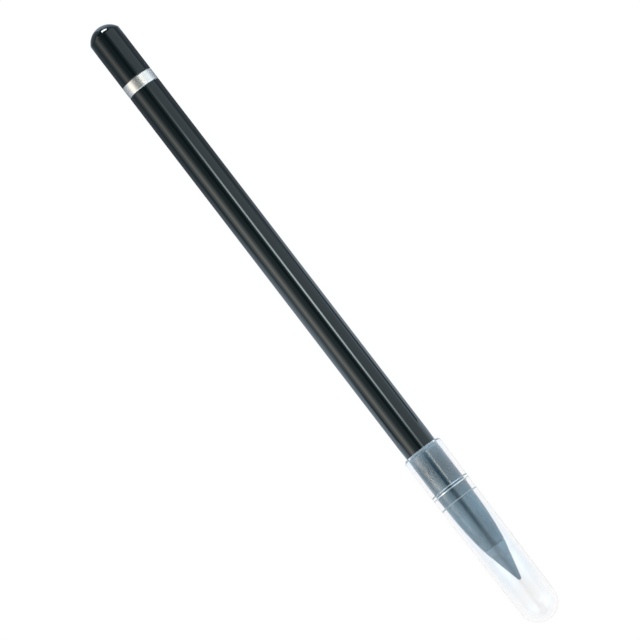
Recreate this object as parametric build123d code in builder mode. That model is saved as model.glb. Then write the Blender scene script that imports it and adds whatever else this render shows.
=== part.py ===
"""Inkless metal pencil: a lacquered aluminium tube with a screwed-in writing nib and a clear push-on cap.

All sizes are in millimetres. The pencil lies along X, with its nib and clear cap towards +X, and the
origin is on its axis, half way along the capped length.
"""

import os

from build123d import *

# Barrel tube
barrel_radius = 4.0
tube_wall = 0.6
barrel_length = 118.3
tube_edge_break = 0.12
seat_step = 0.05  # how far the stretch that the clear cap covers is turned down
seat_lead_length = 0.8
front_taper = 0.1
front_taper_length = 2.0

# Trim ring
ring_width = 3.1
ring_wall = 0.35
ring_bevel = 0.2

# Domed end cap
end_cap_length = 14.6
dome_height = 2.5
end_cap_edge_break = 0.12
end_cap_bore_depth = 9.6

# Connector that joins end cap, ring and tube
spigot_length = 9.0
spigot_wall = 1.0
crush_rib_count = 8
crush_rib_height = 0.22
crush_rib_width = 0.6
spigot_lead = 0.4

# Threaded insert in the front of the tube
insert_length = 12.0
insert_wall = 0.82
insert_recess = 0.2
insert_lead = 0.3
glue_groove_count = 2
glue_groove_width = 1.4
glue_groove_depth = 0.2
glue_groove_pitch = 3.6

# Nib holder
holder_length = 13.3
holder_step = 0.07  # how far its base stands below the front edge of the tube
nose_drop = 1.08  # how much the radius falls from the base to the tip
holder_edge_break = 0.08
register_length = 1.0
register_ledge = 0.35
stud_length = 7.0
stud_lead = 0.45

# Writing tip
tip_length = 9.5
tip_edge_break = 0.08
point_radius = 0.46
shank_radius = 1.5
shank_length = 6.5
shank_lead = 0.3

# Clear cap
cap_length = 48.1
cap_cover = 14.1  # how far the mouth reaches back over the tube
cap_mouth_radius = 5.0
cap_dome_radius = 4.65
cap_wall = 0.83
mouth_round = 0.65
mouth_lead_length = 1.0
mouth_lead = 0.1
bead_place = 10.83  # from the mouth to the middle of the grip bead
bead_width = 0.95
bead_land = 0.55
socket_step = 0.25
bore_step_length = 0.2
nose_bore_length = 15.25  # from the end of the socket to the last step

# Clearances
glue_gap = 0.03
thread_clearance = 0.05
register_clearance = 0.05
shank_end_gap = 0.3
bead_clearance = 0.03
socket_clearance = 0.22

# Places along the axis
overall_length = end_cap_length + ring_width + barrel_length - cap_cover + cap_length
rear_x = -overall_length / 2
ring_rear_x = rear_x + end_cap_length
tube_rear_x = ring_rear_x + ring_width
tube_front_x = tube_rear_x + barrel_length
tip_base_x = tube_front_x + holder_length
tip_end_x = tip_base_x + tip_length
cap_mouth_x = tube_front_x - cap_cover
cap_end_x = cap_mouth_x + cap_length

# Radii that mating pieces share
tube_bore = barrel_radius - tube_wall
seat_radius = barrel_radius - seat_step
tube_front_radius = seat_radius - front_taper
ring_bore = barrel_radius - ring_wall
thread_bore = tube_bore - glue_gap - insert_wall
stud_radius = thread_bore - thread_clearance
register_bore = thread_bore + register_ledge
holder_base_radius = tube_front_radius - holder_step
holder_front_radius = holder_base_radius - nose_drop


def upper_line(lines):
    """Of the lines that touch a round end, the one above the axis."""
    return lines.sort_by(Axis.Y)[-1]


os.makedirs("parts", exist_ok=True)

# Barrel: drawn aluminium tube, turned down a little as the clear cap's seat and tapered at its front edge
with BuildPart() as barrel_tube:
    with BuildSketch(Plane.XY):
        with BuildLine():
            Polyline(
                (tube_rear_x, tube_bore),
                (tube_rear_x, barrel_radius - tube_edge_break),
                (tube_rear_x + tube_edge_break, barrel_radius),
                (cap_mouth_x, barrel_radius),
                (cap_mouth_x + seat_lead_length, seat_radius),
                (tube_front_x - front_taper_length, seat_radius),
                (tube_front_x - tube_edge_break, tube_front_radius),
                (tube_front_x, tube_front_radius - tube_edge_break),
                (tube_front_x, tube_bore),
                close=True,
            )
        make_face()
    revolve(axis=Axis.X)
barrel_tube.part.label = "barrel_tube"
export_step(barrel_tube.part, "parts/barrel_tube.step")

# Threaded insert: sleeve glued inside the tube, with grooves for the glue and a counterbore at its mouth
insert_front_x = tube_front_x - insert_recess
insert_rear_x = insert_front_x - insert_length
insert_radius = tube_bore - glue_gap
counterbore_x = insert_front_x - register_length - register_clearance
first_groove_x = (insert_front_x + insert_rear_x - (glue_groove_count - 1) * glue_groove_pitch) / 2
with BuildPart() as thread_insert:
    with BuildSketch(Plane.XY):
        with BuildLine():
            Polyline(
                (insert_rear_x, thread_bore + insert_lead),
                (insert_rear_x, insert_radius - insert_lead),
                (insert_rear_x + insert_lead, insert_radius),
                (insert_front_x, insert_radius),
                (insert_front_x, register_bore),
                (counterbore_x, register_bore),
                (counterbore_x, thread_bore),
                (insert_rear_x + insert_lead, thread_bore),
                close=True,
            )
        make_face()
        for groove in range(glue_groove_count):
            with Locations((first_groove_x + groove * glue_groove_pitch, insert_radius)):
                Rectangle(glue_groove_width, 2 * glue_groove_depth, mode=Mode.SUBTRACT)
    revolve(axis=Axis.X)
thread_insert.part.label = "thread_insert"
export_step(thread_insert.part, "parts/thread_insert.step")

# Connector: moulded plug with a collar that carries the ring, and a ribbed spigot on either side
collar_radius = ring_bore - glue_gap
rib_radius = tube_bore - glue_gap
spigot_radius = rib_radius - crush_rib_height
connector_bore = spigot_radius - spigot_wall
connector_rear_x = ring_rear_x - spigot_length
connector_front_x = tube_rear_x + spigot_length
rib_root_radius = (connector_bore + spigot_radius) / 2
rib_length = spigot_length - 2 * spigot_lead
with BuildPart() as rear_connector:
    with BuildSketch(Plane.XY):
        with BuildLine():
            Polyline(
                (connector_rear_x, connector_bore),
                (connector_rear_x, spigot_radius - spigot_lead),
                (connector_rear_x + spigot_lead, spigot_radius),
                (ring_rear_x, spigot_radius),
                (ring_rear_x, collar_radius),
                (tube_rear_x, collar_radius),
                (tube_rear_x, spigot_radius),
                (connector_front_x - spigot_lead, spigot_radius),
                (connector_front_x, spigot_radius - spigot_lead),
                (connector_front_x, connector_bore),
                close=True,
            )
        make_face()
    revolve(axis=Axis.X)
    for rib_start_x in (ring_rear_x - rib_length, tube_rear_x):
        with BuildSketch(Plane.YZ.offset(rib_start_x)):
            with PolarLocations(0, crush_rib_count):
                with Locations((rib_root_radius, 0)):
                    Rectangle(rib_radius - rib_root_radius, crush_rib_width, align=(Align.MIN, Align.CENTER))
            Circle(rib_radius, mode=Mode.INTERSECT)
        extrude(amount=rib_length)
rear_connector.part.label = "rear_connector"
export_step(rear_connector.part, "parts/rear_connector.step")

# Trim ring: thin polished band with bevelled edges, trapped between the tube and the end cap
with BuildPart() as trim_ring:
    with BuildSketch(Plane.XY):
        with BuildLine():
            Polyline(
                (ring_rear_x, ring_bore),
                (ring_rear_x, barrel_radius - ring_bevel),
                (ring_rear_x + ring_bevel, barrel_radius),
                (tube_rear_x - ring_bevel, barrel_radius),
                (tube_rear_x, barrel_radius - ring_bevel),
                (tube_rear_x, ring_bore),
                close=True,
            )
        make_face()
    revolve(axis=Axis.X)
trim_ring.part.label = "trim_ring"
export_step(trim_ring.part, "parts/trim_ring.step")

# End cap: turned aluminium cap with a shallow domed end, bored to take the connector's rear spigot
with BuildPart() as end_cap:
    with BuildSketch(Plane.XY):
        with BuildLine():
            TangentArc((rear_x, 0), (rear_x + dome_height, barrel_radius), tangent=(0, 1))
            Polyline(
                (rear_x + dome_height, barrel_radius),
                (ring_rear_x - end_cap_edge_break, barrel_radius),
                (ring_rear_x, barrel_radius - end_cap_edge_break),
                (ring_rear_x, tube_bore),
                (ring_rear_x - end_cap_bore_depth, tube_bore),
                (ring_rear_x - end_cap_bore_depth, 0),
                (rear_x, 0),
            )
        make_face()
    revolve(axis=Axis.X)
end_cap.part.label = "end_cap"
export_step(end_cap.part, "parts/end_cap.step")

# Nib holder: moulded ogive with a register and a screw stud behind it, and a blind bore for the tip's shank
register_radius = register_bore - register_clearance
register_rear_x = tube_front_x - insert_recess - register_length
stud_rear_x = register_rear_x - stud_length
shank_bore = shank_radius + glue_gap
shank_bore_end_x = tip_base_x - shank_length - shank_end_gap
with BuildPart() as nib_holder:
    with BuildSketch(Plane.XY):
        with BuildLine():
            Polyline(
                (shank_bore_end_x, 0),
                (stud_rear_x, 0),
                (stud_rear_x, stud_radius - stud_lead),
                (stud_rear_x + stud_lead, stud_radius),
                (register_rear_x, stud_radius),
                (register_rear_x, register_radius),
                (tube_front_x, register_radius),
                (tube_front_x, holder_base_radius - holder_edge_break),
                (tube_front_x + holder_edge_break, holder_base_radius),
            )
            ogive = TangentArc(
                (tube_front_x + holder_edge_break, holder_base_radius),
                (tip_base_x - holder_edge_break, holder_front_radius),
                tangent=(1, 0),
            )
            Polyline(
                ogive @ 1,
                (tip_base_x, holder_front_radius - holder_edge_break),
                (tip_base_x, shank_bore),
                (shank_bore_end_x, shank_bore),
                (shank_bore_end_x, 0),
            )
        make_face()
    revolve(axis=Axis.X)
nib_holder.part.label = "nib_holder"
export_step(nib_holder.part, "parts/nib_holder.step")

# Writing tip: graphite alloy cone with a rounded point and a shank glued into the holder
point_centre_x = tip_end_x - point_radius
with BuildPart() as writing_tip:
    with BuildSketch(Plane.XY):
        with BuildLine():
            Polyline(
                (tip_end_x, 0),
                (tip_base_x - shank_length, 0),
                (tip_base_x - shank_length, shank_radius - shank_lead),
                (tip_base_x - shank_length + shank_lead, shank_radius),
                (tip_base_x, shank_radius),
                (tip_base_x, holder_front_radius - tip_edge_break),
                (tip_base_x + tip_edge_break, holder_front_radius),
            )
            point_circle = CenterArc((point_centre_x, 0), point_radius, 0, 180, mode=Mode.PRIVATE)
            flank_start = (tip_base_x + tip_edge_break, holder_front_radius)
            flank = ConstrainedLines(point_circle, flank_start, selector=upper_line)
            TangentArc((tip_end_x, 0), flank.vertices().sort_by(Axis.X)[-1].center(), tangent=(0, 1))
        make_face()
    revolve(axis=Axis.X)
writing_tip.part.label = "writing_tip"
export_step(writing_tip.part, "parts/writing_tip.step")

# Clear cap: moulded in one piece and drafted outside, with a grip bead and two fine steps in its bore
socket_radius = seat_radius + socket_clearance
bead_x = cap_mouth_x + bead_place
bead_crest_radius = seat_radius + bead_clearance
nose_bore_radius = socket_radius - socket_step
last_step_x = tube_front_x + nose_bore_length
dome_centre_x = cap_end_x - cap_dome_radius
inner_dome_radius = cap_dome_radius - cap_wall
with BuildPart() as clear_cap:
    with BuildSketch(Plane.XY) as cap_section:
        with BuildLine():
            outer_dome = CenterArc((dome_centre_x, 0), cap_dome_radius, 0, 180, mode=Mode.PRIVATE)
            outside = ConstrainedLines(outer_dome, (cap_mouth_x, cap_mouth_radius), selector=upper_line)
            TangentArc((cap_end_x, 0), outside.vertices().sort_by(Axis.X)[-1].center(), tangent=(0, 1))
            bore = Polyline(
                (cap_mouth_x, cap_mouth_radius),
                (cap_mouth_x, socket_radius + mouth_lead),
                (cap_mouth_x + mouth_lead_length, socket_radius),
                (bead_x - bead_width / 2, socket_radius),
                (bead_x - bead_land / 2, bead_crest_radius),
                (bead_x + bead_land / 2, bead_crest_radius),
                (bead_x + bead_width / 2, socket_radius),
                (tube_front_x, socket_radius),
                (tube_front_x + bore_step_length, nose_bore_radius),
                (last_step_x, nose_bore_radius),
                (last_step_x + bore_step_length, inner_dome_radius),
                (dome_centre_x, inner_dome_radius),
            )
            inner_dome = TangentArc(bore @ 1, (cap_end_x - cap_wall, 0), tangent=(1, 0))
            Line(inner_dome @ 1, (cap_end_x, 0))
        make_face()
        mouth_corner = cap_section.vertices().group_by(Axis.X)[0].sort_by(Axis.Y)[-1]
        fillet(mouth_corner, radius=mouth_round)
    revolve(axis=Axis.X)
clear_cap.part.label = "clear_cap"
export_step(clear_cap.part, "parts/clear_cap.step")
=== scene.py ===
import math

import bmesh
import bpy
from mathutils import Matrix, Vector


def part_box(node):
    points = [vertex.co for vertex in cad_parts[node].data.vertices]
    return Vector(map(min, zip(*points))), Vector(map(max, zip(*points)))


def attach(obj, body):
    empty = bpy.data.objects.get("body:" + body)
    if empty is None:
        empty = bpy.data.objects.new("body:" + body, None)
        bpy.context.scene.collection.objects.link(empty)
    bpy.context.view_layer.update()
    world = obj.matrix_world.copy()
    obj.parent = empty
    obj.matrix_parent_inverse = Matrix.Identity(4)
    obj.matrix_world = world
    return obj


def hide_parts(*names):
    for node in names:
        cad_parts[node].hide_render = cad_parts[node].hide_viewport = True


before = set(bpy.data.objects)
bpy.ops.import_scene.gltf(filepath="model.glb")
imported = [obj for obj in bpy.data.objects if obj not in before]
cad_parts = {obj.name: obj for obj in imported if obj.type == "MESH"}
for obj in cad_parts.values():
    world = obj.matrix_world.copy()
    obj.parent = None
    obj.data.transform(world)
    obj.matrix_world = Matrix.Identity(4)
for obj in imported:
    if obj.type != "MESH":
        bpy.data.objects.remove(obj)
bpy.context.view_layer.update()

# Barrel tube. Drawn aluminium tube, lacquered gloss black and polished outside; its bore is bare metal.
# It is turned down by a hair where the clear cap sits, and its front edge is eased so the cap slides on.
mm = 0.001


def eased(corners):
    """Outline points from (x, radius, round) corners in millimetres: each corner gets its round as a small arc.

    A point on either side of each corner keeps the smooth shading of the straights next to it flat.
    """
    points = []
    hold = 0.05
    steps = 6
    for index, (x, r, easing) in enumerate(corners):
        here = Vector((x, r))
        if easing == 0 and index in (0, len(corners) - 1):
            points.append(here)
            continue
        before = Vector(corners[index - 1][:2]) - here
        after = Vector(corners[(index + 1) % len(corners)][:2]) - here
        half_angle = before.angle(after) / 2
        reach = easing / math.tan(half_angle)
        start = here + before.normalized() * reach
        end = here + after.normalized() * reach
        points.append(start + before.normalized() * min(hold, before.length / 3))
        if easing == 0:
            points.append(here)
        else:
            middle = here + (before.normalized() + after.normalized()).normalized() * easing / math.sin(half_angle)
            turn = (start - middle).angle_signed(end - middle)
            for step in range(steps + 1):
                spoke = (start - middle).copy()
                spoke.rotate(Matrix.Rotation(-turn * step / steps, 2))
                points.append(middle + spoke)
        points.append(end + after.normalized() * min(hold, after.length / 3))
    return [(point.x, point.y) for point in points]


def arc(centre_x, centre_r, radius, start_degrees, end_degrees, steps):
    """Points along an arc of the outline, its angle taken from the direction of the nib."""
    points = []
    for step in range(steps + 1):
        angle = math.radians(start_degrees + (end_degrees - start_degrees) * step / steps)
        points.append((centre_x + radius * math.cos(angle), centre_r + radius * math.sin(angle)))
    return points


def lathe_tree():
    """Node tree that spins an outline, drawn as radius and length, about the pencil's axis."""
    tree = bpy.data.node_groups.new("spun on the lathe", "GeometryNodeTree")
    tree.interface.new_socket("Outline", in_out="INPUT", socket_type="NodeSocketGeometry")
    tree.interface.new_socket("Steps around", in_out="INPUT", socket_type="NodeSocketInt")
    tree.interface.new_socket("Finish", in_out="INPUT", socket_type="NodeSocketMaterial")
    tree.interface.new_socket("Piece", in_out="OUTPUT", socket_type="NodeSocketGeometry")
    node, link = tree.nodes.new, tree.links.new
    given = node("NodeGroupInput")
    outline = node("GeometryNodeMeshToCurve")
    circle = node("GeometryNodeCurvePrimitiveCircle")
    circle.inputs["Radius"].default_value = 1e-6
    level = node("GeometryNodeSetCurveNormal")
    level.mode = "Z_UP"
    spin = node("GeometryNodeCurveToMesh")
    lay_down = node("GeometryNodeTransform")
    lay_down.inputs["Rotation"].default_value = (0, -math.pi / 2, 0)
    close = node("GeometryNodeMergeByDistance")
    close.inputs["Distance"].default_value = 5e-6
    real = node("GeometryNodeRealizeInstances")
    dress = node("GeometryNodeSetMaterial")
    done = node("NodeGroupOutput")
    link(given.outputs["Outline"], outline.inputs["Mesh"])
    link(given.outputs["Steps around"], circle.inputs["Resolution"])
    link(circle.outputs["Curve"], level.inputs["Curve"])
    link(level.outputs["Curve"], spin.inputs["Curve"])
    link(outline.outputs["Curve"], spin.inputs["Profile Curve"])
    link(spin.outputs["Mesh"], lay_down.inputs["Geometry"])
    link(lay_down.outputs["Geometry"], close.inputs["Geometry"])
    link(close.outputs["Geometry"], real.inputs["Geometry"])
    link(real.outputs["Geometry"], dress.inputs["Geometry"])
    link(given.outputs["Finish"], dress.inputs["Material"])
    link(dress.outputs["Geometry"], done.inputs["Piece"])
    return tree


def worked(name, draft, tree, inputs):
    """Runs a node tree on a draft mesh and returns its result as a plain, smooth piece at the origin."""
    maker = bpy.data.objects.new(name + "_draft", draft)
    bpy.context.scene.collection.objects.link(maker)
    modifier = maker.modifiers.new("make", "NODES")
    modifier.node_group = tree
    sockets = {item.name: item.identifier for item in tree.interface.items_tree if item.in_out == "INPUT"}
    for label, value in inputs.items():
        modifier[sockets[label]] = value
    evaluated = maker.evaluated_get(bpy.context.evaluated_depsgraph_get())
    mesh = bpy.data.meshes.new_from_object(evaluated)
    maker.modifiers.remove(modifier)
    bpy.data.objects.remove(maker)
    bpy.data.meshes.remove(draft)
    shell = bmesh.new()
    shell.from_mesh(mesh)
    bmesh.ops.recalc_face_normals(shell, faces=shell.faces)
    shell.to_mesh(mesh)
    shell.free()
    mesh.name = name
    mesh.shade_smooth()
    mesh.set_sharp_from_angle(angle=math.radians(28))
    piece = bpy.data.objects.new(name, mesh)
    bpy.context.scene.collection.objects.link(piece)
    return piece


lathe = lathe_tree()


def turned(name, outline, finish, closed=True, steps=256):
    """Spins an outline of (x, radius) points in millimetres into a piece."""
    draft = bpy.data.meshes.new(name + "_outline")
    edges = [(index, index + 1) for index in range(len(outline) - 1)]
    if closed:
        edges.append((len(outline) - 1, 0))
    draft.from_pydata([(r * mm, x * mm, 0) for x, r in outline], edges, [])
    return worked(name, draft, lathe, {"Steps around": steps, "Finish": finish})


class Finish:
    """A material and the few calls that its nodes need."""

    def __init__(self, name, **settings):
        self.material = bpy.data.materials.new(name)
        self.material.use_nodes = True
        self.nodes = self.material.node_tree.nodes
        self.shader = self.nodes["Principled BSDF"]
        for socket, value in settings.items():
            self.shader.inputs[socket.replace("_", " ")].default_value = value
        self.place = self.nodes.new("ShaderNodeTexCoord").outputs["Object"]

    def link(self, start, end):
        self.material.node_tree.links.new(start, end)

    def give(self, socket, value):
        """Sets a socket to a number or a colour, or links a node's result to it."""
        if isinstance(value, tuple):
            socket.default_value = (*value, 1)
        elif isinstance(value, (int, float)):
            socket.default_value = value
        else:
            self.link(value, socket)

    def onto(self, socket, value):
        """Links a node's result to a socket of the shader."""
        self.link(value, self.shader.inputs[socket])

    def parts(self):
        """Object coordinates, one by one."""
        split = self.nodes.new("ShaderNodeSeparateXYZ")
        self.link(self.place, split.inputs["Vector"])
        return split.outputs

    def stretched(self, scale):
        """Object coordinates, scaled along the pencil's length and across it."""
        mapping = self.nodes.new("ShaderNodeMapping")
        mapping.inputs["Scale"].default_value = scale
        self.link(self.place, mapping.inputs["Vector"])
        return mapping.outputs["Vector"]

    def noise(self, vector, scale, detail=2):
        texture = self.nodes.new("ShaderNodeTexNoise")
        texture.inputs["Scale"].default_value = scale
        texture.inputs["Detail"].default_value = detail
        self.link(vector, texture.inputs["Vector"])
        return texture.outputs["Fac"]

    def spread(self, value, low, high, to_low, to_high):
        """Takes the stretch of values from low to high over to another stretch, held at its ends."""
        range_node = self.nodes.new("ShaderNodeMapRange")
        for socket, number in zip(("From Min", "From Max", "To Min", "To Max"), (low, high, to_low, to_high)):
            self.give(range_node.inputs[socket], number)
        self.link(value, range_node.inputs["Value"])
        return range_node.outputs["Result"]

    def math(self, operation, first, second):
        step = self.nodes.new("ShaderNodeMath")
        step.operation = operation
        for socket, value in zip(step.inputs, (first, second)):
            self.give(socket, value)
        return step.outputs["Value"]

    def colours(self, value, first, second):
        """Mixes two colours by a value from 0 to 1."""
        mix = self.nodes.new("ShaderNodeMix")
        mix.data_type = "RGBA"
        self.give(mix.inputs[6], first)
        self.give(mix.inputs[7], second)
        self.link(value, mix.inputs["Factor"])
        return mix.outputs[2]

    def axis_distance(self):
        """Distance from the pencil's axis."""
        place = self.parts()
        across = self.math("MULTIPLY", place["Y"], place["Y"])
        up = self.math("MULTIPLY", place["Z"], place["Z"])
        return self.math("POWER", self.math("ADD", across, up), 0.5)

    def bump(self, *heights):
        """Chains bumps of (value, strength, depth in millimetres) onto the shader's normal."""
        normal = None
        for value, strength, depth in heights:
            node = self.nodes.new("ShaderNodeBump")
            node.inputs["Strength"].default_value = strength
            node.inputs["Distance"].default_value = depth * mm
            self.link(value, node.inputs["Height"])
            if normal is not None:
                self.link(normal, node.inputs["Normal"])
            normal = node.outputs["Normal"]
        self.onto("Normal", normal)


def lacquer_finish(name, bare_radius, bare_from):
    """Polished black lacquer with a trace of dust and hairlines; inside, from bare_from on, the metal is bare."""
    lacquer = Finish(name, Specular_Tint=(0.86, 0.97, 1.0, 1))
    dust = lacquer.spread(lacquer.noise(lacquer.place, 2600, detail=3), 0.66, 0.74, 0, 1)
    hairline = lacquer.spread(lacquer.noise(lacquer.stretched((60, 2600, 2600)), 1), 0.62, 0.72, 0, 1)
    marks = lacquer.math("ADD", lacquer.math("MULTIPLY", dust, 0.05), lacquer.math("MULTIPLY", hairline, 0.03))
    inside = lacquer.spread(lacquer.axis_distance(), bare_radius * mm, (bare_radius + 0.02) * mm, 1, 0)
    bare = lacquer.math("MULTIPLY", inside, lacquer.math("GREATER_THAN", lacquer.parts()["X"], bare_from * mm))
    tone = lacquer.colours(lacquer.noise(lacquer.place, 300), (0.003, 0.007, 0.008), (0.005, 0.009, 0.010))
    lacquer.onto("Base Color", lacquer.colours(bare, tone, (0.74, 0.75, 0.76)))
    lacquer.onto("Metallic", bare)
    gloss = lacquer.math("ADD", marks, 0.04)
    lacquer.onto("Roughness", lacquer.math("ADD", gloss, lacquer.math("MULTIPLY", bare, 0.3)))
    return lacquer.material


barrel_radius = 4.0
tube_bore = 3.4
lacquer_edge = tube_bore + 0.04
seat_radius = 3.95
seat_slope = 0.8
tube_front_radius = 3.85
tube_front_slope = 2.0
tube_rear, tube_front = (corner.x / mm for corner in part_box("barrel_tube"))
cap_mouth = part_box("clear_cap")[0].x / mm
black_lacquer = lacquer_finish("gloss black lacquer", lacquer_edge, tube_rear - 0.1)
barrel_tube = turned(
    "barrel",
    eased([
        (tube_rear, tube_bore, 0.04),
        (tube_rear, barrel_radius, 0.12),
        (cap_mouth, barrel_radius, 0.6),
        (cap_mouth + seat_slope, seat_radius, 0.6),
        (tube_front - tube_front_slope, seat_radius, 0.6),
        (tube_front, tube_front_radius, 0.14),
        (tube_front, tube_bore, 0.04),
    ]),
    black_lacquer,
)
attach(barrel_tube, "barrel")
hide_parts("barrel_tube")

# Threaded insert. Turned brass sleeve glued into the front of the tube; the nib screws into it.
# Its bore is tapped, which shows only with the nib out.
thread_pitch = 0.8
brass = Finish("turned brass", Metallic=1.0)
tool_lines = brass.noise(brass.stretched((9000, 150, 150)), 1, detail=3)
tapped = brass.nodes.new("ShaderNodeTexWave")
tapped.wave_type = "BANDS"
tapped.bands_direction = "X"
tapped.inputs["Scale"].default_value = 1 / (thread_pitch * mm) * math.pi / 10
brass.link(brass.place, tapped.inputs["Vector"])
brass.onto("Base Color", brass.colours(tool_lines, (0.60, 0.42, 0.17), (0.76, 0.57, 0.27)))
brass.onto("Roughness", brass.spread(tool_lines, 0.3, 0.7, 0.22, 0.36))
brass.bump((tool_lines, 0.2, 0.01), (tapped.outputs["Fac"], 0.6, 0.25))


def dressed(node, finish):
    """Gives its finish to a CAD piece that stays as it is."""
    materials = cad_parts[node].data.materials
    materials.clear()
    materials.append(finish.material)


dressed("thread_insert", brass)

# Rear connector. Moulded black plug, pushed into the tube and the end cap, with the ring round its collar.
# It has the fine spark-eroded grain of its mould, and no part of it shows once it is home.
plug_plastic = Finish("grained black plastic")
grain = plug_plastic.noise(plug_plastic.place, 5200, detail=3)
plug_plastic.onto("Base Color", plug_plastic.colours(grain, (0.022, 0.022, 0.024), (0.042, 0.042, 0.045)))
plug_plastic.onto("Roughness", plug_plastic.spread(grain, 0.3, 0.7, 0.42, 0.6))
plug_plastic.bump((grain, 0.4, 0.02))
dressed("rear_connector", plug_plastic)

# Trim ring. Thin turned band, polished and plated silver, with a bevel on both edges.
# It is trapped on the connector's collar between the tube and the end cap.
ring_bore = 3.65
ring_bevel = 0.2
ring_rear, ring_front = (corner.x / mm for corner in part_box("trim_ring"))
silver = Finish("polished silver plate", Metallic=1.0)
polish_lines = silver.noise(silver.stretched((14000, 60, 60)), 1, detail=4)
# Painted shade and sheen: the base colour is warm grey where the ring faces the view and near white towards its rims;
# the polish lines shift it a little either way.
facing = silver.nodes.new("ShaderNodeLayerWeight").outputs["Facing"]
slant = silver.math(
    "ADD", silver.spread(facing, 0.03, 0.33, 0, 1), silver.spread(polish_lines, 0.3, 0.7, -0.1, 0.1))
silver.onto("Base Color", silver.colours(slant, (0.67, 0.64, 0.59), (1.0, 0.96, 0.93)))
silver.onto("Roughness", silver.spread(polish_lines, 0.3, 0.7, 0.34, 0.42))
silver.bump((polish_lines, 0.12, 0.004))
trim_ring = turned(
    "ring",
    eased([
        (ring_rear, ring_bore, 0.04),
        (ring_rear, barrel_radius - ring_bevel, 0.1),
        (ring_rear + ring_bevel, barrel_radius, 0.25),
        (ring_front - ring_bevel, barrel_radius, 0.25),
        (ring_front, barrel_radius - ring_bevel, 0.1),
        (ring_front, ring_bore, 0.04),
    ]),
    silver.material,
)
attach(trim_ring, "barrel")
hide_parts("trim_ring")

# End cap. Turned aluminium cap with a shallow domed end, lacquered like the barrel.
# It is pushed onto the connector's rear spigot and closes the pencil.
dome_height = 2.5
end_bore_floor = ring_rear - 9.6
end_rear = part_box("end_cap")[0].x / mm
dome_base = end_rear + dome_height
dome_radius = (barrel_radius ** 2 + dome_height ** 2) / (2 * dome_height)
dome_half_angle = math.degrees(math.asin(barrel_radius / dome_radius))
dome_stop = 180 - dome_half_angle + 1.2
dome = arc(end_rear + dome_radius, 0, dome_radius, 180, dome_stop, 48)
shoulder = [(dome_base + step, barrel_radius - drop) for step, drop in ((-0.03, 0.035), (0.03, 0.006), (0.1, 0))]
end_cap = turned(
    "end_cap_turned",
    dome + shoulder + eased([
        (dome_base + 0.3, barrel_radius, 0),
        (ring_rear, barrel_radius, 0.12),
        (ring_rear, tube_bore, 0.04),
        (end_bore_floor, tube_bore, 0),
        (end_bore_floor, 0, 0),
    ]),
    lacquer_finish("gloss black lacquer, end cap", lacquer_edge, end_bore_floor - 0.1),
    closed=False,
)
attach(end_cap, "barrel")
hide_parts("end_cap")

# Nib holder. Gloss black moulding, an ogive with a register and a screw stud behind it.
# The stud screws into the brass insert, and the tip's shank is glued into the bore at its front.
holder_base = 3.78
holder_front = 2.70
register_radius = 2.85
stud_core = 2.08
stud_rear, holder_end = (corner.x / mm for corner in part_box("nib_holder"))
register_rear = stud_rear + 7.0
stud_chamfer = 0.3
shank_bore = 1.53
shank_bore_floor = holder_end - 6.8
seam_depth = 0.22
nose_length = holder_end - tube_front
nose_radius = (nose_length ** 2 + (holder_base - holder_front) ** 2) / (2 * (holder_base - holder_front))
nose_turn = math.degrees(math.asin(nose_length / nose_radius))
nose = arc(tube_front, holder_base - nose_radius, nose_radius, 89.4, 90 - nose_turn + 0.1, 60)
gloss_plastic = Finish("gloss black plastic")
flow = gloss_plastic.noise(gloss_plastic.stretched((90, 1500, 1500)), 1)
speck = gloss_plastic.spread(gloss_plastic.noise(gloss_plastic.place, 3100), 0.7, 0.76, 0, 1)
gloss_plastic.onto("Base Color", gloss_plastic.colours(flow, (0.006, 0.007, 0.008), (0.011, 0.012, 0.013)))
gloss_plastic.onto("Roughness", gloss_plastic.math(
    "ADD", gloss_plastic.spread(flow, 0.3, 0.7, 0.24, 0.30), gloss_plastic.math("MULTIPLY", speck, 0.15)))
gloss_plastic.bump((flow, 0.05, 0.02))
nib_holder = turned(
    "nib_holder_moulded",
    [
        (shank_bore_floor, 0),
        (stud_rear, 0),
        (stud_rear, stud_core - stud_chamfer),
        (stud_rear + stud_chamfer, stud_core),
        (register_rear - 0.4, stud_core),
        (register_rear - 0.1, register_radius - 0.35),
        (register_rear, register_radius - 0.1),
        (register_rear + 0.1, register_radius),
        (tube_front, register_radius),
        (tube_front, holder_base - 0.1),
        (tube_front + 0.02, holder_base - 0.03),
        (tube_front + 0.07, holder_base - 0.002),
        *nose[1:-1],
        (holder_end - 0.08, holder_front - 0.05),
        (holder_end, holder_front - seam_depth),
        (holder_end, shank_bore),
        (shank_bore_floor, shank_bore),
        (shank_bore_floor, 0),
    ],
    gloss_plastic.material,
    closed=False,
)
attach(nib_holder, "nib")
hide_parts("nib_holder")

# Screw thread of the nib. Moulded in one with the holder's stud, right-handed, 5 mm across with a pitch of 0.8 mm.
# It runs out just short of the register.
thread_crest = 2.5
thread_length = 5.9
thread_start = 0.45
ridge_radius = 0.29


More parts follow.
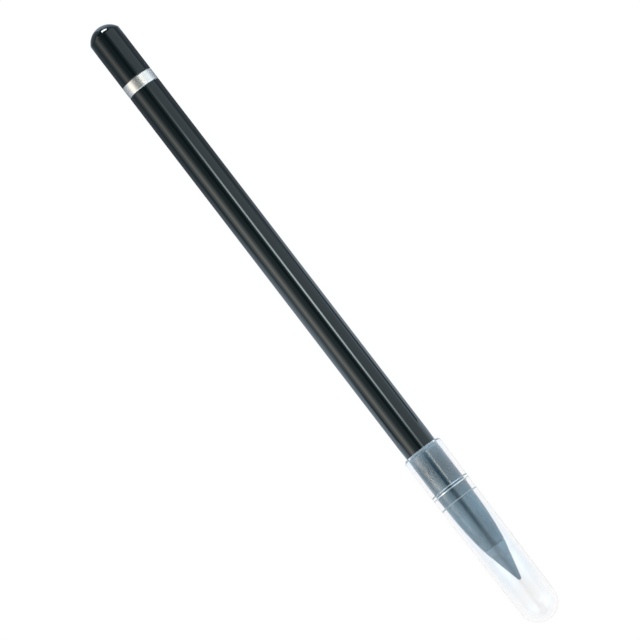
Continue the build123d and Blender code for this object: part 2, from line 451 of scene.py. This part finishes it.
def thread_tree():
    """Node tree that winds a three-cornered ridge round a stud on the pencil's axis."""
    tree = bpy.data.node_groups.new("screw thread", "GeometryNodeTree")
    tree.interface.new_socket("Draft", in_out="INPUT", socket_type="NodeSocketGeometry")
    for label, kind in (("Turns", "Float"), ("Length", "Float"), ("Start", "Float"), ("Pitch radius", "Float"),
                        ("Ridge", "Float"), ("Steps a turn", "Int"), ("Finish", "Material")):
        tree.interface.new_socket(label, in_out="INPUT", socket_type="NodeSocket" + kind)
    tree.interface.new_socket("Piece", in_out="OUTPUT", socket_type="NodeSocketGeometry")
    node, link = tree.nodes.new, tree.links.new
    given = node("NodeGroupInput")
    helix = node("GeometryNodeCurveSpiral")
    level = node("GeometryNodeSetCurveNormal")
    level.mode = "Z_UP"
    ridge = node("GeometryNodeCurvePrimitiveCircle")
    ridge.inputs["Resolution"].default_value = 3
    wind = node("GeometryNodeCurveToMesh")
    wind.inputs["Fill Caps"].default_value = True
    place = node("ShaderNodeCombineXYZ")
    lay_down = node("GeometryNodeTransform")
    lay_down.inputs["Rotation"].default_value = (0, math.pi / 2, 0)
    real = node("GeometryNodeRealizeInstances")
    dress = node("GeometryNodeSetMaterial")
    done = node("NodeGroupOutput")
    link(given.outputs["Steps a turn"], helix.inputs["Resolution"])
    link(given.outputs["Turns"], helix.inputs["Rotations"])
    link(given.outputs["Pitch radius"], helix.inputs["Start Radius"])
    link(given.outputs["Pitch radius"], helix.inputs["End Radius"])
    link(given.outputs["Length"], helix.inputs["Height"])
    link(helix.outputs["Curve"], level.inputs["Curve"])
    link(level.outputs["Curve"], wind.inputs["Curve"])
    link(given.outputs["Ridge"], ridge.inputs["Radius"])
    link(ridge.outputs["Curve"], wind.inputs["Profile Curve"])
    link(given.outputs["Start"], place.inputs["X"])
    link(place.outputs["Vector"], lay_down.inputs["Translation"])
    link(wind.outputs["Mesh"], lay_down.inputs["Geometry"])
    link(lay_down.outputs["Geometry"], real.inputs["Geometry"])
    link(real.outputs["Geometry"], dress.inputs["Geometry"])
    link(given.outputs["Finish"], dress.inputs["Material"])
    link(dress.outputs["Geometry"], done.inputs["Piece"])
    return tree


nib_thread = worked(
    "nib_thread",
    bpy.data.meshes.new("thread_draft"),
    thread_tree(),
    {
        "Turns": thread_length / thread_pitch,
        "Length": thread_length * mm,
        "Start": (stud_rear + thread_start) * mm,
        "Pitch radius": (thread_crest - ridge_radius) * mm,
        "Ridge": ridge_radius * mm,
        "Steps a turn": 64,
        "Finish": gloss_plastic.material,
    },
)
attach(nib_thread, "nib")

# Writing tip. Grey graphite alloy, turned to a cone with a rounded point and left matt.
# Its shank is glued into the holder, which leaves a fine seam between the two.
tip_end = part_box("writing_tip")[1].x / mm
point_radius = 0.46
shank_radius = 1.5
shank_rear = holder_end - 6.5
shank_chamfer = 0.3
flank_start = 0.25
flank_length = tip_end - point_radius - holder_end
flank_angle = math.degrees(math.atan2(holder_front, flank_length) - math.asin(
    point_radius / math.hypot(flank_length, holder_front)))
graphite = Finish("turned graphite alloy", Metallic=0.55)
turning = graphite.noise(graphite.stretched((11000, 120, 120)), 1, detail=3)
sinter = graphite.noise(graphite.place, 5200, detail=4)
graphite.onto("Base Color", graphite.colours(
    graphite.math("ADD", graphite.math("MULTIPLY", turning, 0.4), graphite.math("MULTIPLY", sinter, 0.6)),
    (0.13, 0.145, 0.155),
    (0.24, 0.26, 0.28),
))
graphite.onto("Roughness", graphite.spread(sinter, 0.3, 0.7, 0.36, 0.52))
graphite.bump((turning, 0.35, 0.012), (sinter, 0.25, 0.01))
writing_tip = turned(
    "tip",
    [
        (shank_rear, 0),
        (shank_rear, shank_radius - shank_chamfer),
        (shank_rear + shank_chamfer, shank_radius),
        (holder_end, shank_radius),
        (holder_end, holder_front - seam_depth),
        (holder_end + 0.08, holder_front - 0.09),
        (holder_end + 0.14, holder_front - 0.055),
        (holder_end + flank_start, holder_front - flank_start * math.tan(math.radians(flank_angle))),
        *arc(tip_end - point_radius, 0, point_radius, 90 - flank_angle, 0, 24),
    ],
    graphite.material,
    closed=False,
)
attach(writing_tip, "nib")
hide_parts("writing_tip")

# Clear cap. Moulded in one piece of clear plastic, drafted outside, with a round end and a small bevel at its lip.
# A low bead inside grips the tube. The bore steps in at the tube's end, and tapers gently before its own round end.
cap_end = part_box("clear_cap")[1].x / mm
lip_radius = 5.0
bevel_length = 0.52
bevel_depth = 0.41
lead_length = 1.0
lead_depth = 0.1
outer_dome = 4.65
inner_dome = 3.82
socket_radius = 4.17
nose_bore = 3.92
bead_crest = 3.98
bead = cap_mouth + 10.83
bead_slope_near, bead_slope_far = 0.275, 0.475
step_length = 0.2
last_step_length = 1.4
last_step = tube_front + 15.25
dome_centre = cap_end - outer_dome
draft = math.degrees(math.asin((lip_radius - outer_dome) / (dome_centre - cap_mouth)))
lip_hold = cap_mouth + 6.0
finish_split = tube_front + 0.5


def outer_radius(x):
    """Radius of the drafted outside at a place along the cap."""
    return lip_radius - (x - cap_mouth) * math.tan(math.radians(draft))


def shared(finish, share, first, second):
    """Shows two shaders on one surface, the second by its share."""
    both = finish.nodes.new("ShaderNodeMixShader")
    for socket, result in zip(both.inputs, (share, first, second)):
        finish.link(result, socket)
    finish.link(both.outputs["Shader"], finish.nodes["Material Output"].inputs["Surface"])


def clear_plastic(name, haze=0.0, edges=(), lip_glow_share=0.0):
    """Clear plastic; haze is the share of blue bloom on its face, which grows with the slant of the view.

    edges are (place, half width, share) of white lines round the cap: painted highlights where the lip and the bore's
    steps catch the light.
    The last argument is the share of painted glow at the lip, which fades over its first 6 mm; the specks are dust.
    """
    clear = Finish(name, Roughness=0.0, IOR=1.59, Transmission_Weight=1.0)
    flow = clear.noise(clear.stretched((60, 500, 500)), 1)
    clear.onto("Base Color", clear.colours(flow, (0.985, 0.985, 0.98), (0.998, 0.995, 0.99)))
    if not haze:
        return clear.material
    length = clear.parts()["X"]
    facing = clear.nodes.new("ShaderNodeLayerWeight").outputs["Facing"]
    # Painted light: the lip's glow and the lines stand in for light caught by the lip and the bore's steps, and the
    # lines whiten further towards the cap's silhouette; only the specks are dust.
    painted_line_rim_boost = clear.spread(facing, 0.4, 0.75, 1, 2.6)
    lip = clear.spread(length, (cap_mouth + 0.4) * mm, (cap_mouth + 6.4) * mm, 1, 0)
    specks = clear.spread(clear.noise(clear.place, 2300, detail=1), 0.76, 0.80, 0, 0.2)
    specks_and_painted_light = clear.math("MAXIMUM", specks, clear.math("MULTIPLY", clear.math("POWER", lip, 2.5), lip_glow_share))
    for place, half_width, share in edges:
        away = clear.math("ABSOLUTE", clear.math("SUBTRACT", length, place * mm), 0)
        near = clear.math("POWER", clear.spread(away, half_width * mm, (half_width + 0.1) * mm, 1, 0), 2.5)
        line = clear.math("MULTIPLY", near, clear.math("MULTIPLY", painted_line_rim_boost, share))
        specks_and_painted_light = clear.math("MAXIMUM", specks_and_painted_light, line)
    bloom = clear.nodes.new("ShaderNodeBsdfPrincipled")
    bloom.inputs["Roughness"].default_value = 1.0
    bloom.inputs["Specular IOR Level"].default_value = 0.0
    whiteness = clear.spread(specks_and_painted_light, 0, 0.3, 0, 1)
    clear.link(clear.colours(whiteness, (0.40, 0.74, 1.0), (0.80, 0.93, 1.0)), bloom.inputs["Base Color"])
    past_tip = clear.spread(length, (tip_end - 1) * mm, (tip_end + 4) * mm, haze, haze * 0.3)
    slanted = clear.math(
        "MULTIPLY", clear.spread(facing, 0, 0.32, 1, 1.9), clear.spread(facing, 0.36, 0.55, 1, 0.13))
    veil = clear.math("MULTIPLY", past_tip, slanted)
    outside = clear.math("SUBTRACT", 1.0, clear.nodes.new("ShaderNodeNewGeometry").outputs["Backfacing"])
    shown = clear.math("MULTIPLY", clear.math("ADD", specks_and_painted_light, veil), outside)
    shared(clear, shown, clear.shader.outputs["BSDF"], bloom.outputs["BSDF"])
    return clear.material


clear_cap = turned(
    "clear_cap_moulded",
    arc(dome_centre, 0, outer_dome, 0, 90 - draft, 40)
    + eased([
        (finish_split, outer_radius(finish_split), 0),
        (lip_hold, outer_radius(lip_hold), 0),
        (cap_mouth + bevel_length, outer_radius(cap_mouth + bevel_length), 0.12),
        (cap_mouth, lip_radius - bevel_depth, 0.08),
        (cap_mouth, socket_radius + lead_depth, 0.03),
        (cap_mouth + lead_length, socket_radius, 0.05),
        (bead - bead_slope_far, socket_radius, 0.04),
        (bead - bead_slope_near, bead_crest, 0.04),
        (bead + bead_slope_near, bead_crest, 0.04),
        (bead + bead_slope_far, socket_radius, 0.04),
        (tube_front, socket_radius, 0.05),
        (tube_front + step_length, nose_bore, 0.05),
        (last_step, nose_bore, 2.0),
        (last_step + last_step_length, inner_dome, 2.0),
        (dome_centre - 2.0, inner_dome, 0),
    ])
    + arc(dome_centre, 0, inner_dome, 90, 0, 40),
    clear_plastic("clear plastic, bore"),
    closed=False,
    steps=320,
)
# The lines listed below are painted highlights at the lip and at the bore's steps, and the last number is the share
# of painted glow at the lip.
clear_cap.data.materials.append(clear_plastic("clear plastic, over the tube", 0.08, [
    (cap_mouth + 0.2, 0.2, 0.26),
    (cap_mouth + lead_length, 0.07, 0.2),
    (bead - 0.375, 0.12, 0.12),
    (bead + 0.375, 0.13, 0.30),
    (tube_front + 0.1, 0.11, 0.30),
], 0.17))
clear_cap.data.materials.append(clear_plastic("clear plastic, over the nib", 0.105, [
    (last_step + 0.7, 0.08, 0.035),
]))
for face in clear_cap.data.polygons:
    outwards = Vector((max(0, face.center.x - dome_centre * mm), face.center.y, face.center.z))
    if face.normal.dot(outwards) >= 0:
        face.material_index = 1 if face.center.x < finish_split * mm else 2
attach(clear_cap, "cap")
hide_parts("clear_cap")

# Floor. Plain white sweep that the pencil lies on, touched by the lip of the cap and the rear end of the barrel.
# Seen directly or through the cap it is near white with a soft shadow; in reflections it is a cool grey,
# darker at the rear, with a painted shadow in a strip beside the pencil and a painted bright patch just behind its
# domed end.
floor_glow_level = 1.04
floor_glow_share = 0.92
floor_reach = 6.0
floor_gap = 0.02


def ray_kinds(nodes, link):
    """Values for a stage material: 1 for rays that see or mirror it, for mirrored ones, and for all turned back.

    A ray that has passed one to three faces of the clear cap has only been bent or turned back inside its wall,
    and doesn't count as mirrored by the pencil.
    """
    path = nodes.new("ShaderNodeLightPath")

    def step(operation, first, second, third=0.0):
        node = nodes.new("ShaderNodeMath")
        node.operation = operation
        node.use_clamp = True
        for socket, value in zip(node.inputs, (first, second, third)):
            if isinstance(value, float):
                socket.default_value = value
            else:
                link(value, socket)
        return node.outputs["Value"]

    looked_at = step("MAXIMUM", path.outputs["Is Camera Ray"], path.outputs["Is Transmission Ray"])
    in_cap_wall = step("COMPARE", path.outputs["Transmission Depth"], 2.0, 1.5)
    reflected = step("MINIMUM", path.outputs["Glossy Depth"], 1.0)
    seen = step("MAXIMUM", looked_at, path.outputs["Is Glossy Ray"])
    return seen, step("SUBTRACT", reflected, in_cap_wall), reflected


def run_of_colour(finish, stops, value):
    """Colour that eases through (place, colour) stops."""
    node = finish.nodes.new("ShaderNodeValToRGB")
    node.color_ramp.interpolation = "EASE"
    while len(node.color_ramp.elements) < len(stops):
        node.color_ramp.elements.new(0.5)
    for element, (place, colour) in zip(node.color_ramp.elements, stops):
        element.position = place
        element.color = (*colour, 1)
    finish.link(value, node.inputs["Fac"])
    return node.outputs["Color"]


def greys(*stops):
    """Colour stops from stops of (place, level)."""
    return [(place, (level, level, level)) for place, level in stops]


def multiplied(finish, first, second):
    """Product of two colours."""
    node = finish.nodes.new("ShaderNodeVectorMath")
    node.operation = "MULTIPLY"
    finish.link(first, node.inputs[0])
    finish.link(second, node.inputs[1])
    return node.outputs["Vector"]


white_floor = Finish("white floor", Roughness=0.9, Base_Color=(0.92, 0.93, 0.94, 1))
white_floor.material.cycles.emission_sampling = "NONE"
floor_seen, floor_mirrored, _ = ray_kinds(white_floor.nodes, white_floor.link)
floor_place = white_floor.parts()
floor_cool = run_of_colour(
    white_floor,
    [(0.225, (0.28, 0.34, 0.40)), (0.5, (1.3, 1.52, 1.75)), (0.66, (1.3, 1.52, 1.75)), (0.71, (1.0, 1.02, 1.05))],
    white_floor.spread(floor_place["X"], -0.1, 0.1, 0, 1),
)
# Painted shadow and light, seen only in reflections: beside the pencil the floor is darkened like its contact shadow,
# and just behind the domed end it is brightened.
painted_levels_beside_pencil = run_of_colour(
    white_floor,
    greys((0.3, 0.3), (0.335, 4.8), (0.35, 4.4), (0.365, 2.6), (0.387, 2.6), (0.4, 0.25), (0.777, 0.25),
          (0.787, 1.0)),
    white_floor.spread(floor_place["X"], -0.2, 0.1, 0, 1),
)
floor_side = white_floor.math("ABSOLUTE", floor_place["Y"], 0)
painted_shadow_and_glow_beside = white_floor.spread(floor_side, 0.004, 0.013, painted_levels_beside_pencil, 1)
through_cap = white_floor.nodes.new("ShaderNodeLightPath").outputs["Is Transmission Ray"]
floor_colour = white_floor.colours(
    floor_mirrored,
    white_floor.colours(through_cap, (1, 1, 1), (0.993, 0.97, 0.967)),
    multiplied(white_floor, painted_shadow_and_glow_beside, floor_cool),
)
floor_glow = white_floor.nodes.new("ShaderNodeEmission")
floor_glow.inputs["Strength"].default_value = floor_glow_level
white_floor.link(floor_colour, floor_glow.inputs["Color"])
shared(
    white_floor,
    white_floor.math("MULTIPLY", floor_seen, floor_glow_share),
    white_floor.shader.outputs["BSDF"],
    floor_glow.outputs["Emission"],
)
lip_x, rear_x = cap_mouth + bevel_length, dome_base
floor_slope = (barrel_radius - lip_radius) / (lip_x - rear_x)
floor_level = -lip_radius - floor_slope * lip_x - floor_gap
floor_mesh = bpy.data.meshes.new("floor")
floor_mesh.from_pydata(
    [(x * floor_reach, y * floor_reach, floor_level * mm + floor_slope * x * floor_reach)
     for x, y in ((-1, -1), (1, -1), (1, 1), (-1, 1))],
    [],
    [(0, 1, 2, 3)],
)
floor_mesh.materials.append(white_floor.material)
floor = bpy.data.objects.new("floor", floor_mesh)
bpy.context.scene.collection.objects.link(floor)

# Studio light. A white tent lights everything evenly; sheets round the pencil, seen only in reflections, shape its
# gloss: a dark cloth over the middle, soft boxes along the lower side and round the cap, thin lamps along the upper
# side, a small lamp behind the domed end, and cards that darken the floor and the rear.
tent = bpy.data.worlds.new("white tent")
tent.use_nodes = True
bpy.context.scene.world = tent
tent_nodes, tent_link = tent.node_tree.nodes, tent.node_tree.links.new
tent_light = tent_nodes["Background"]
tent_seen, tent_mirrored, _ = ray_kinds(tent_nodes, tent_link)
tent_colour = tent_nodes.new("ShaderNodeMix")
tent_colour.data_type = "RGBA"
tent_colour.inputs[6].default_value = (1.0, 1.07, 1.11, 1)
tent_colour.inputs[7].default_value = (1.03, 1.12, 1.17, 1)
tent_level = tent_nodes.new("ShaderNodeMapRange")
tent_level.inputs["To Min"].default_value = 0.8
tent_level.inputs["To Max"].default_value = 1.0
tent_link(tent_mirrored, tent_colour.inputs["Factor"])
tent_link(tent_colour.outputs[2], tent_light.inputs["Color"])
tent_link(tent_seen, tent_level.inputs["Value"])
tent_link(tent_level.outputs["Result"], tent_light.inputs["Strength"])


def around(angle, distance, x):
    """Place at an angle from straight above, towards the upper side of the picture, round the pencil's axis."""
    turn = math.radians(angle)
    return Vector((x, distance * math.sin(turn), distance * math.cos(turn)))


def plain(colour):
    """Stops of one colour all the way."""
    return [(0, colour), (1, colour)]


tint_rear, tint_front = -0.2, 0.4


def glowing(name, stops, along=plain((1, 1, 1)), level=1.0, fade=None, reach=None, soft_edges=False):
    """Light that runs through (place, colour) stops across a sheet, tinted by stops along it.

    The sheet is clear for rays that the pencil doesn't mirror or that come from beyond its reach, and it thins out
    to its soft edges and along its fade in x.
    """
    light = Finish(name)
    light.material.cycles.emission_sampling = "NONE"
    uv = light.nodes.new("ShaderNodeUVMap")
    split = light.nodes.new("ShaderNodeSeparateXYZ")
    light.link(uv.outputs["UV"], split.inputs["Vector"])
    width, length = split.outputs["Y"], light.parts()["X"]
    glow = light.nodes.new("ShaderNodeEmission")
    glow.inputs["Strength"].default_value = level
    tint = run_of_colour(light, along, light.spread(length, tint_rear, tint_front, 0, 1))
    light.link(multiplied(light, run_of_colour(light, stops, width), tint), glow.inputs["Color"])
    shown = ray_kinds(light.nodes, light.link)[2]
    if fade:
        shown = light.math("MULTIPLY", shown, light.spread(length, *fade, 0, 1))
    if reach:
        ray_length = light.nodes.new("ShaderNodeLightPath").outputs["Ray Length"]
        shown = light.math("MULTIPLY", shown, light.spread(ray_length, 1.003 * reach, reach, 0, 1))
    if soft_edges:
        middle = light.nodes.new("ShaderNodeFloatCurve")
        points = middle.mapping.curves[0].points
        points[1].location = (1, 0)
        points.new(0.5, 1)
        points[0].location = (0, 0)
        light.link(width, middle.inputs["Value"])
        shown = light.math("MULTIPLY", middle.outputs["Value"], shown)
    clear = light.nodes.new("ShaderNodeBsdfTransparent")
    shared(light, shown, clear.outputs["BSDF"], glow.outputs["Emission"])
    return light.material


def sheet(name, rows, material, seen_through_cap=True, seen_outside=True):
    """A sheet through rows of two points each, mirrored by outer faces, by what is under the clear cap or by both."""
    mesh = bpy.data.meshes.new(name)
    mesh.from_pydata(
        [point for row in rows for point in row],
        [],
        [(2 * row, 2 * row + 1, 2 * row + 3, 2 * row + 2) for row in range(len(rows) - 1)],
    )
    uv = mesh.uv_layers.new(name="across")
    for face in mesh.polygons:
        for loop in face.loop_indices:
            vertex = mesh.loops[loop].vertex_index
            uv.data[loop].uv = (vertex % 2, vertex // 2 / (len(rows) - 1))
    mesh.materials.append(material)
    piece = bpy.data.objects.new(name, mesh)
    bpy.context.scene.collection.objects.link(piece)
    piece.visible_camera = False
    piece.visible_diffuse = False
    piece.visible_glossy = seen_outside
    piece.visible_transmission = seen_through_cap
    piece.visible_shadow = False


def bent(first, last, distance, x_first, x_last, steps=24):
    """Rows of a sheet bent round the pencil's axis; first and last hold its angles at both of its ends."""
    rows = []
    for step in range(steps + 1):
        share = step / steps
        rows.append(tuple(
            around(start + (end - start) * share, distance, x)
            for start, end, x in zip(first, last, (x_first, x_last))))
    return rows


lamp_rear, lamp_front = -0.165, 0.022
lamp_angles = (28.3, 21.2)
lamp_spread = 6.0
lamp_turn = (lamp_angles[1] - lamp_angles[0]) / (lamp_front - lamp_rear)
sheet_rear, sheet_front = -0.7, 0.7
cloth_away, box_away, fill_away = 0.62, 0.6, 0.59


def lamp_angle(x):
    """Angle of the thin lamp's middle at a place along the pencil."""
    return lamp_angles[0] + lamp_turn * (x - lamp_rear)


def lamp_rows(angles, ends):
    """Rows of a thin lamp, spread about the angles at its two ends."""
    first, last = ([angle + side * lamp_spread for angle in angles] for side in (-1, 1))
    return bent(first, last, box_away, *ends, 2)


cloth_edges = [max(8, min(28, lamp_angle(x))) for x in (-0.16, 0.1)]
dark = glowing(
    "dark cloth",
    [(0, (1.0, 1.1, 1.15)), (0.17, (0.5, 0.59, 0.61)), (0.29, (0.14, 0.18, 0.2)), (0.38, (0.03, 0.04, 0.05)),
     (0.45, (0.03, 0.04, 0.05)), (0.68, (0.3, 0.35, 0.37)), (1, (0.46, 0.49, 0.5))],
    greys((0, 0.35), (0.093, 0.55), (0.228, 1), (0.38, 1), (0.45, 4)),
    fade=(0.054, 0.04),
)
sheet("dark_cloth", bent(cloth_edges, (-30, -30), cloth_away, sheet_rear, sheet_front), dark)
warm = glowing(
    "warm soft box",
    [(0, (0.14, 0.145, 0.147)), (0.1, (0.23, 0.235, 0.235)), (0.25, (0.46, 0.455, 0.44)), (0.5, (1.0, 0.89, 0.78)),
     (0.76, (0.43, 0.42, 0.41)), (1, (0.14, 0.17, 0.19))],
    [(0.0, (0.5, 0.5, 0.5)), (0.2, (1, 1, 1)), (0.33, (0.93, 0.93, 0.93)), (0.345, (0.9, 0.9, 0.9)),
     (0.352, (0.42, 0.44, 0.47)), (0.358, (0.5, 0.54, 0.58)), (0.368, (0.9, 0.96, 1.02))],
    3.5,
)
sheet("warm_soft_box", bent((-30, -30), (-91, -91), cloth_away, sheet_rear, sheet_front), warm)
front = glowing(
    "front soft box",
    [(0, (0.35, 0.42, 0.47)), (0.06, (1.05, 1.25, 1.35)), (0.15, (1.8, 2.1, 2.2)), (0.3, (2.2, 2.75, 3.0)),
     (0.55, (2.2, 2.75, 3.0)), (0.75, (1.6, 2.05, 2.3)), (1, (1.0, 1.3, 1.5))],
    [(0.375, (1.35, 1.6, 1.75)), (0.395, (0.8, 0.88, 0.93)), (0.41, (0.35, 0.31, 0.3)), (0.455, (0.35, 0.31, 0.3)),
     (0.49, (0.5, 0.5, 0.52))],
    fade=(0.015, 0.038),
)
sheet("front_soft_box", bent((-6, -6), (-91, -91), box_away, 0.0, sheet_front), front)
front_upper = glowing(
    "front upper box",
    [(0, (0.8, 1.0, 1.15)), (0.12, (1.6, 2.05, 2.3)), (0.8, (1.65, 2.3, 2.7)), (1, (1.1, 1.5, 1.75))],
    [(0.38, (1.3, 1.6, 1.75)), (0.41, (0.48, 0.42, 0.4)), (0.455, (0.48, 0.42, 0.4)), (0.49, (0.7, 0.76, 0.82))],
    fade=(0.018, 0.04),
)
sheet("front_upper_box", bent((14, 14), (91, 91), box_away, 0.0, sheet_front), front_upper)
strip_white = (1, 1, 0.97)
strip = glowing(
    "strip lamp",
    plain(strip_white),
    greys((0.058, 0.05), (0.093, 0.17), (0.16, 0.7), (0.228, 0.97), (0.262, 0.79), (0.313, 0.45), (0.325, 0.31),
          (0.331, 0.26), (0.345, 0.1), (0.367, 0.1), (0.375, 0.0)),
    11.5,
    soft_edges=True,
)
sheet("thin_lamp", lamp_rows(lamp_angles, (lamp_rear, lamp_front)), strip, seen_through_cap=False)
cap_strip = glowing("strip lamp, through the cap", plain(strip_white), level=3.2, soft_edges=True)
cap_lamp_ends = (-0.014, 0.0086)
cap_lamp_angles = [lamp_angle(x) for x in cap_lamp_ends]
sheet("thin_lamp_cap", lamp_rows(cap_lamp_angles, cap_lamp_ends), cap_strip, seen_outside=False)
cap_fill = glowing(
    "fill light, through the cap",
    [(0, (0.35, 0.38, 0.4)), (0.1, (0.85, 0.92, 0.95)), (0.3, (1.1, 1.2, 1.25)), (0.5, (1.5, 1.6, 1.65)),
     (0.75, (1.95, 2.0, 1.97)), (1, (2.8, 2.65, 2.42))],
)
sheet("cap_fill", bent((-8, -8), (-58, -58), fill_away, *cap_lamp_ends), cap_fill, seen_outside=False)
dome_spot = Vector((-0.0838, 0.0009, 0.0029))
rear_lamp_away = 0.0803
rear_lamp_reach = 0.0807
rear_lamp_low, rear_lamp_high = -4.5, 9.7
rear_lamp_tilt = 0.4
rear_lamp_middle = 14


def behind_dome(turn, rise):
    """Place of the rear lamp at a turn aside and a rise in degrees, seen from the bright spot on the dome."""
    aside, height = math.radians(turn), math.radians(rise)
    level = math.cos(height)
    return dome_spot + rear_lamp_away * Vector((-level * math.cos(aside), level * math.sin(aside), math.sin(height)))


rear_lamp = []
for turn in range(1, 26, 2):
    lift = rear_lamp_tilt * (rear_lamp_middle - turn)
    rises = (max(rear_lamp_low, lift + rear_lamp_low), lift + rear_lamp_high)
    rear_lamp.append([behind_dome(turn, rise) for rise in rises])
white = glowing("bare lamp", plain((1, 1, 1)), level=24.0, reach=rear_lamp_reach)
sheet("rear_lamp", rear_lamp, white)
shade = glowing("shaded floor", plain((0.36, 0.42, 0.48)))
sheet("rear_floor_card", [[(x, y, -0.0036) for x in (-0.13, -0.086)] for y in (-0.06, -0.002)], shade)
black = glowing("black card", plain((0.06, 0.065, 0.07)))
sheet("rear_card", [[(-0.8, y, z) for y in (-0.3, 0.5)] for z in (0.0, 0.6)], black)
card_grey = (0.29, 0.34, 0.38)
card_rear, card_front = -0.3, 0.03
grey = glowing("grey card", plain(card_grey))
sheet(
    "upper_side_card",
    [[(card_rear, y, -0.0041), (card_front, y, -0.0043)] for y in (0.0145, 0.034)],
    grey,
    seen_through_cap=False,
)
for end, card_ends, fade in (
        ("rear", (card_rear, -0.014), (-0.014, -0.04)), ("front", (0.0, card_front), (0.0, 0.018))):
    card = glowing("grey card, " + end, plain(card_grey), fade=fade)
    sheet(
        "lower_card_" + end,
        [[(x, y, z) for x in card_ends] for y, z in ((-0.03, -0.0042), (-0.3, 0.008))],
        card,
        seen_through_cap=False,
    )

# Camera. Above the pencil and a little towards its nib, with a long lens.
# It is turned so that the nib points down to the right.
sensor_width = 36
camera_distance = 1.25
camera_lean = math.radians(5.4)
picture_turn = math.radians(52.53)
picture_width = 0.14565
picture_centre = Vector((-0.00067, -0.0003, 0))
back = Vector((math.sin(camera_lean), 0, math.cos(camera_lean)))
along = (Vector((1, 0, 0)) - back * back.x).normalized()
across = back.cross(along)
right = along * math.cos(picture_turn) + across * math.sin(picture_turn)
up = across * math.cos(picture_turn) - along * math.sin(picture_turn)
camera_data = bpy.data.cameras.new("camera")
camera_data.sensor_width = sensor_width
camera_data.lens = sensor_width * camera_distance / picture_width
camera = bpy.data.objects.new("camera", camera_data)
turn = Matrix((right, up, back)).transposed().to_4x4()
camera.matrix_world = Matrix.Translation(picture_centre + back * camera_distance) @ turn
bpy.context.scene.collection.objects.link(camera)
bpy.context.scene.camera = camera
bpy.context.scene.view_settings.view_transform = "Standard"
